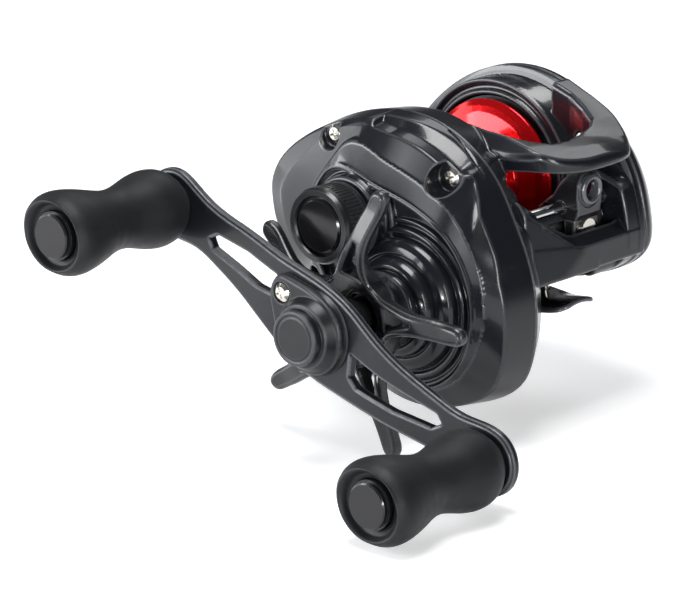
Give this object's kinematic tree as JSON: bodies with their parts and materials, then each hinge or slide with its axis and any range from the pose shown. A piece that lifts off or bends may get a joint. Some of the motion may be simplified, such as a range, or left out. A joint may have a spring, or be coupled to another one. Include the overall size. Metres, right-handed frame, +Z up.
{
  "type": "baitcasting reel",
  "caption": "Low-profile baitcasting fishing reel with a double-knob crank handle, star drag, level wind, thumb-bar clutch, magnetic brake dial and an open red spool.",
  "frame": {"origin": "centre of the reel foot's underside, where it rests on a rod's reel seat", "axes": "+X along the spool axis towards the handle, +Y towards the rod tip, +Z up out of the reel seat"},
  "size_m": [0.1219, 0.1009, 0.0641],
  "materials": {
    "frame_paint": "cast alloy with satin dark slate paint",
    "body_paint": "reinforced nylon with satin dark slate paint",
    "foot_paint": "gloss black",
    "black_anodised": "satin black anodised",
    "gloss_anodised": "gloss black anodised, bright edges",
    "red_anodised": "bright red anodised",
    "nickel_screw": "nickel plated",
    "steel": "turned",
    "spring_steel": "drawn wire",
    "chrome_rod": "polished",
    "brass": "machined",
    "bronze": "sintered",
    "nylon": "moulded natural nylon",
    "black_plastic": "moulded, fine texture",
    "cap_plastic": "gloss",
    "grip_rubber": "matte soft rubber",
    "seal_rubber": "smooth",
    "ring_ceramic": "glazed ceramic",
    "drag_fibre": "woven friction fibre",
    "magnet": "nickel plated"
  },
  "bodies": {
    "reel_body": {"frame": "frame_paint", "reel_foot": "foot_paint", "foot_screws": "nickel_screw", "handle_side_cover": "body_paint", "handle_cover_screws": "nickel_screw", "palm_side_cover": "body_paint", "palm_cover_screws": "nickel_screw", "drive_shaft_bush": "bronze", "anti_reverse_housing": "steel", "anti_reverse_rollers": "steel", "drive_shaft_bearing": "steel", "pinion_bearing": "steel", "spool_bearings": "steel", "brake_plate": "black_plastic", "cast_knob_oring": "seal_rubber", "gearbox_posts": "steel", "yoke_springs": "spring_steel", "worm_bushes": "nylon", "guide_rod": "chrome_rod"},
    "handle": {"drive_shaft": "steel", "level_wind_drive_gear": "nylon", "main_gear": "brass", "drag_fibre_washers": "drag_fibre", "drag_metal_washers": "steel", "drag_spring_washers": "spring_steel", "anti_reverse_sleeve": "steel", "handle_collar": "bronze", "handle_arm": "gloss_anodised", "handle_nut": "steel", "nut_retainer": "gloss_anodised", "retainer_screw": "nickel_screw", "knob_spindles": "steel", "knob_bushes": "nylon"},
    "star": {"star_drag": "black_anodised", "star_nut": "brass"},
    "knob_front": {"knob_grip_front": "grip_rubber", "knob_cap_front": "cap_plastic"},
    "knob_rear": {"knob_grip_rear": "grip_rubber", "knob_cap_rear": "cap_plastic"},
    "spool_assembly": {"spool": "red_anodised", "spool_shaft": "steel", "spool_cross_pin": "steel"},
    "yoke": {"clutch_yoke": "nylon"},
    "pinion": {"pinion_gear": "brass"},
    "cam": {"clutch_cam": "steel"},
    "kick": {"kick_lever": "steel"},
    "thumb": {"thumb_bar": "black_plastic"},
    "cast_control": {"cast_control_knob": "black_anodised", "cast_knob_insert": "gloss_anodised", "spool_tension_shim": "nylon"},
    "dial": {"brake_dial": "black_plastic"},
    "magnets": {"magnet_holder": "black_plastic", "brake_magnets": "magnet"},
    "worm": {"worm_gear": "nylon", "worm_shaft": "steel"},
    "carriage": {"line_guide": "black_plastic", "line_guide_ring": "ring_ceramic", "pawl": "steel", "pawl_cap": "nickel_screw"}
  },
  "joints": [
    {"name": "handle_turn", "type": "hinge", "parent": "reel_body", "child": "handle", "pos_m": [0.0457, 0.01175, 0.00526], "axis": [1, 0, 0], "continuous": true},
    {"name": "star_turn", "type": "hinge", "parent": "handle", "child": "star", "pos_m": [0.0445, 0.01175, 0.00526], "axis": [1, 0, 0], "range_deg": [-360, 360]},
    {"name": "knob_front_spin", "type": "hinge", "parent": "handle", "child": "knob_front", "pos_m": [0.07, 0.05313, -0.01242], "axis": [1, 0, 0], "continuous": true},
    {"name": "knob_rear_spin", "type": "hinge", "parent": "handle", "child": "knob_rear", "pos_m": [0.07, -0.02963, 0.02294], "axis": [1, 0, 0], "continuous": true},
    {"name": "spool_spin", "type": "hinge", "parent": "reel_body", "child": "spool_assembly", "pos_m": [0, -0.002, 0.02066], "axis": [1, 0, 0], "continuous": true},
    {"name": "yoke_slide", "type": "slide", "parent": "reel_body", "child": "yoke", "axis": [1, 0, 0], "range_m": [0, 0.0016], "deforming": ["yoke_springs"]},
    {"name": "pinion_spin", "type": "hinge", "parent": "yoke", "child": "pinion", "pos_m": [0.0235, -0.002, 0.02066], "axis": [1, 0, 0], "continuous": true},
    {"name": "cam_turn", "type": "hinge", "parent": "reel_body", "child": "cam", "pos_m": [0.0152, -0.002, 0.02066], "axis": [1, 0, 0], "range_deg": [0, 16.1]},
    {"name": "kick_turn", "type": "hinge", "parent": "reel_body", "child": "kick", "pos_m": [0.0171, -0.0045, 0.007], "axis": [1, 0, 0], "range_deg": [-10.1, 0]},
    {"name": "thumb_press", "type": "slide", "parent": "reel_body", "child": "thumb", "axis": [0, 0, -1], "range_m": [0, 0.005]},
    {"name": "cast_control_turn", "type": "hinge", "parent": "reel_body", "child": "cast_control", "pos_m": [0.0385, -0.002, 0.02066], "axis": [1, 0, 0], "range_deg": [-360, 360]},
    {"name": "brake_dial_turn", "type": "hinge", "parent": "reel_body", "child": "dial", "pos_m": [-0.0295, -0.002, 0.02066], "axis": [1, 0, 0], "range_deg": [0, 270]},
    {"name": "magnet_slide", "type": "slide", "parent": "reel_body", "child": "magnets", "axis": [-1, 0, 0], "range_m": [0, 0.0025]},
    {"name": "worm_spin", "type": "hinge", "parent": "reel_body", "child": "worm", "pos_m": [0, 0.0236, 0.017], "axis": [1, 0, 0], "continuous": true},
    {"name": "line_guide_slide", "type": "slide", "parent": "reel_body", "child": "carriage", "axis": [1, 0, 0], "range_m": [-0.0045, 0.0121]}
  ],
  "couplings": [
    {"joint": "spool_spin", "follows": "handle_turn", "ratio": -6.3},
    {"joint": "pinion_spin", "follows": "handle_turn", "ratio": -6.3},
    {"joint": "worm_spin", "follows": "handle_turn", "ratio": -1.75},
    {"joint": "yoke_slide", "follows": "thumb_press", "ratio": 0.32},
    {"joint": "cam_turn", "follows": "thumb_press", "rad_per_m": 55.85},
    {"joint": "kick_turn", "follows": "thumb_press", "rad_per_m": -34.9},
    {"joint": "magnet_slide", "follows": "brake_dial_turn", "m_per_rad": 0.0005305}
  ]
}
